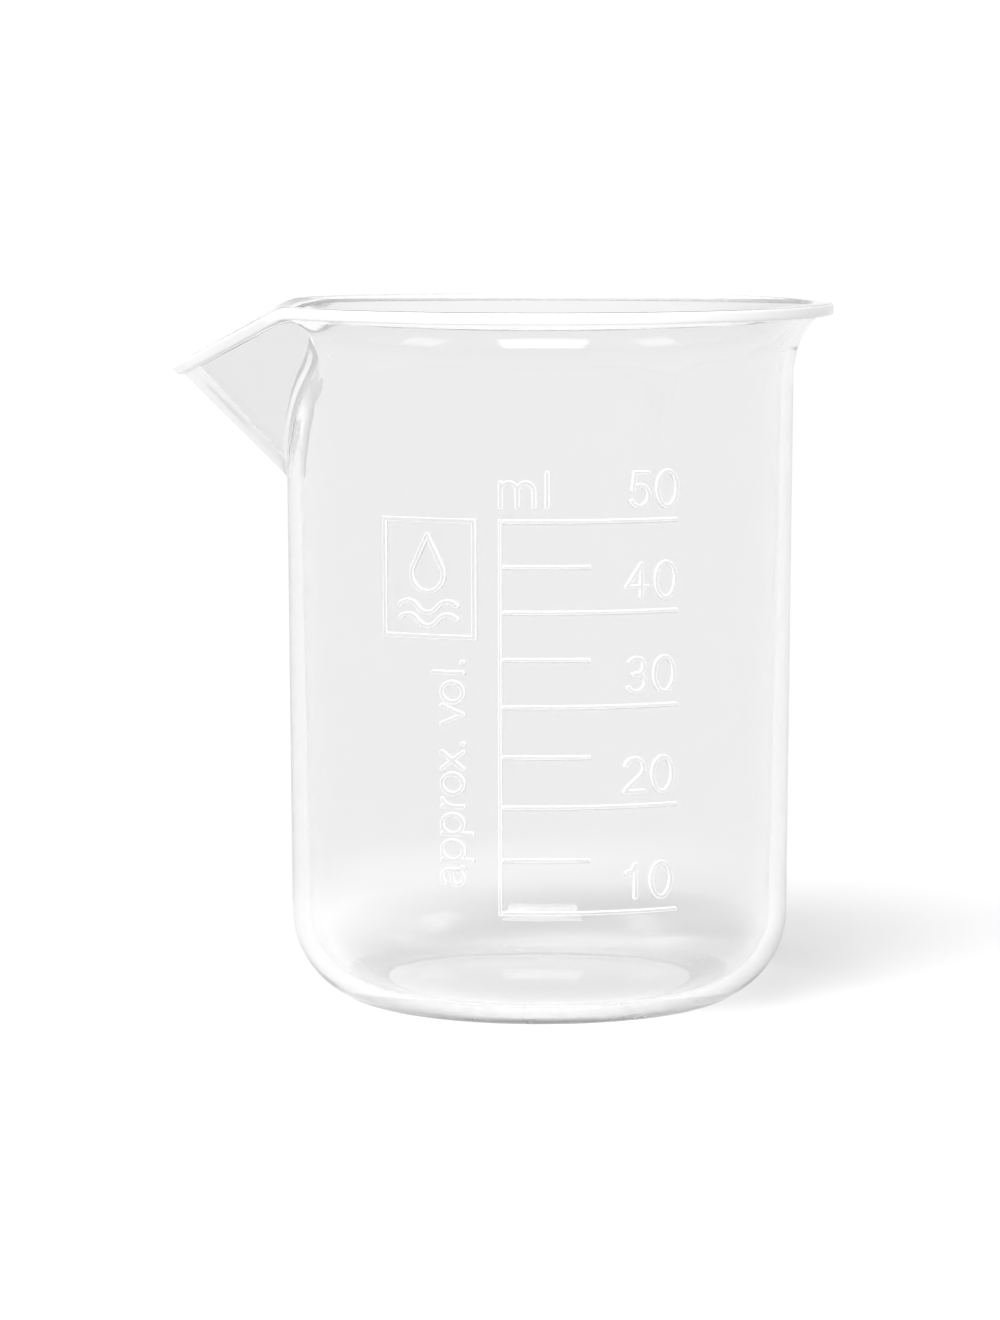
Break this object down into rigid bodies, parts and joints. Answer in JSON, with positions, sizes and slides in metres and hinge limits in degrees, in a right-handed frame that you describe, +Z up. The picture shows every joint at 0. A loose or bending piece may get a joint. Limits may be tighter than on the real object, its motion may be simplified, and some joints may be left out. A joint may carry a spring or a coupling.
{
  "type": "laboratory beaker",
  "caption": "Small clear plastic laboratory beaker with a flared rim, a V-shaped pouring spout and a raised volume scale.",
  "frame": {"origin": "centre of the base, on the surface that the beaker stands on", "axes": "+Z up along the beaker's axis; the spout points along -X; the raised scale faces -Y"},
  "size_m": [0.0565, 0.05, 0.06],
  "materials": {
    "clear_plastic": "clear moulded polymethylpentene, polished, faint flow lines and fine wipe marks",
    "raised_marks": "clear moulded relief of the same plastic, softly rounded edges"
  },
  "bodies": {
    "root": {"vessel": "clear_plastic", "scale_spine": "raised_marks", "graduation_line_10": "raised_marks", "graduation_line_20": "raised_marks", "graduation_line_30": "raised_marks", "graduation_line_40": "raised_marks", "graduation_line_50": "raised_marks", "half_line_15": "raised_marks", "half_line_25": "raised_marks", "half_line_35": "raised_marks", "half_line_45": "raised_marks", "numeral_10": "raised_marks", "numeral_20": "raised_marks", "numeral_30": "raised_marks", "numeral_40": "raised_marks", "numeral_50": "raised_marks", "unit_mark_ml": "raised_marks", "volume_legend": "raised_marks", "emblem_frame": "raised_marks", "emblem_drop": "raised_marks", "emblem_ripples": "raised_marks"}
  },
  "joints": []
}
